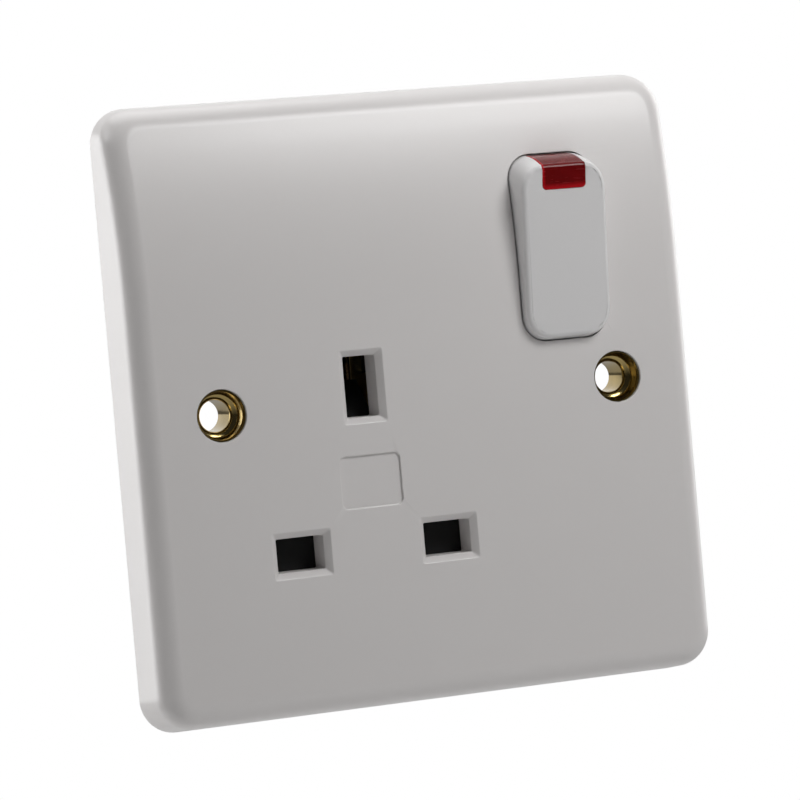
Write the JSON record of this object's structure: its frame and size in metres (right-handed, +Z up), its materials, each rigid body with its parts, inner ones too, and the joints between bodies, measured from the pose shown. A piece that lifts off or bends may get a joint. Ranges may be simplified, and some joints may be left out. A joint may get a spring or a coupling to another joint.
{
  "type": "switched wall socket outlet",
  "caption": "White square wall socket outlet with three rectangular pin slots, a shutter, a rocker switch with a red indicator lens and brass-lined fixing holes.",
  "frame": {"origin": "centre of the wall plane, midway between the two fixing holes", "axes": "+X right seen from the front, +Y into the wall, +Z up"},
  "size_m": [0.086, 0.0284, 0.086],
  "materials": {
    "white_plastic": "smooth gloss moulding",
    "base_plastic": "dull thermoset moulding",
    "black_plastic": "satin moulding",
    "red_lens": "clear red plastic, unlit",
    "brass": "turned or stamped, bright",
    "bronze": "stamped spring sheet",
    "copper": "stamped sheet",
    "silver": "contact rivet",
    "plated_steel": "zinc plated",
    "spring_steel": "drawn wire",
    "lamp_glass": "clear glass",
    "resistor_body": "lacquered"
  },
  "bodies": {
    "housing": {"front_plate": "white_plastic", "rear_base": "base_plastic", "eyelet_left": "brass", "eyelet_right": "brass", "earth_bar": "brass", "earth_contact": "bronze", "neutral_contact": "bronze", "live_contact": "bronze", "earth_terminal": "brass", "neutral_terminal": "brass", "live_terminal": "brass", "terminal_screws": "plated_steel", "base_screws": "plated_steel", "supply_strap": "copper", "load_strap": "copper", "fulcrum": "bronze", "fixed_tip": "silver", "neon_lamp": "lamp_glass", "neon_resistor": "resistor_body", "lamp_leads": "spring_steel", "neutral_link": "copper", "shutter_spring": "spring_steel"},
    "rocker": {"rocker": "white_plastic", "neon_lens": "red_lens", "plunger_spring": "spring_steel"},
    "plunger": {"plunger": "black_plastic"},
    "rocking_contact": {"moving_contact": "copper", "moving_tip": "silver"},
    "shutter": {"shutter": "black_plastic"}
  },
  "joints": [
    {"name": "rocker_hinge", "type": "hinge", "parent": "housing", "child": "rocker", "pos_m": [0.02275, -0.00467, 0.01905], "axis": [1, 0, 0], "range_deg": [-10.6, 0]},
    {"name": "contact_rock", "type": "hinge", "parent": "housing", "child": "rocking_contact", "pos_m": [0.02275, 0.00483, 0.01905], "axis": [1, 0, 0], "range_deg": [0, 15.9]},
    {"name": "plunger_slide", "type": "slide", "parent": "rocker", "child": "plunger", "axis": [0, -0.9957, -0.0924], "range_m": [0, 0.0008], "stiffness_N_per_m": 300, "springref_m": -0.003, "deforming": ["plunger_spring"]},
    {"name": "shutter_slide", "type": "slide", "parent": "housing", "child": "shutter", "axis": [0, 0, -1], "range_m": [0, 0.0052], "stiffness_N_per_m": 60, "springref_m": -0.008, "deforming": ["shutter_spring"]}
  ],
  "couplings": [
    {"joint": "contact_rock", "follows": "rocker_hinge", "ratio": -1.5}
  ]
}
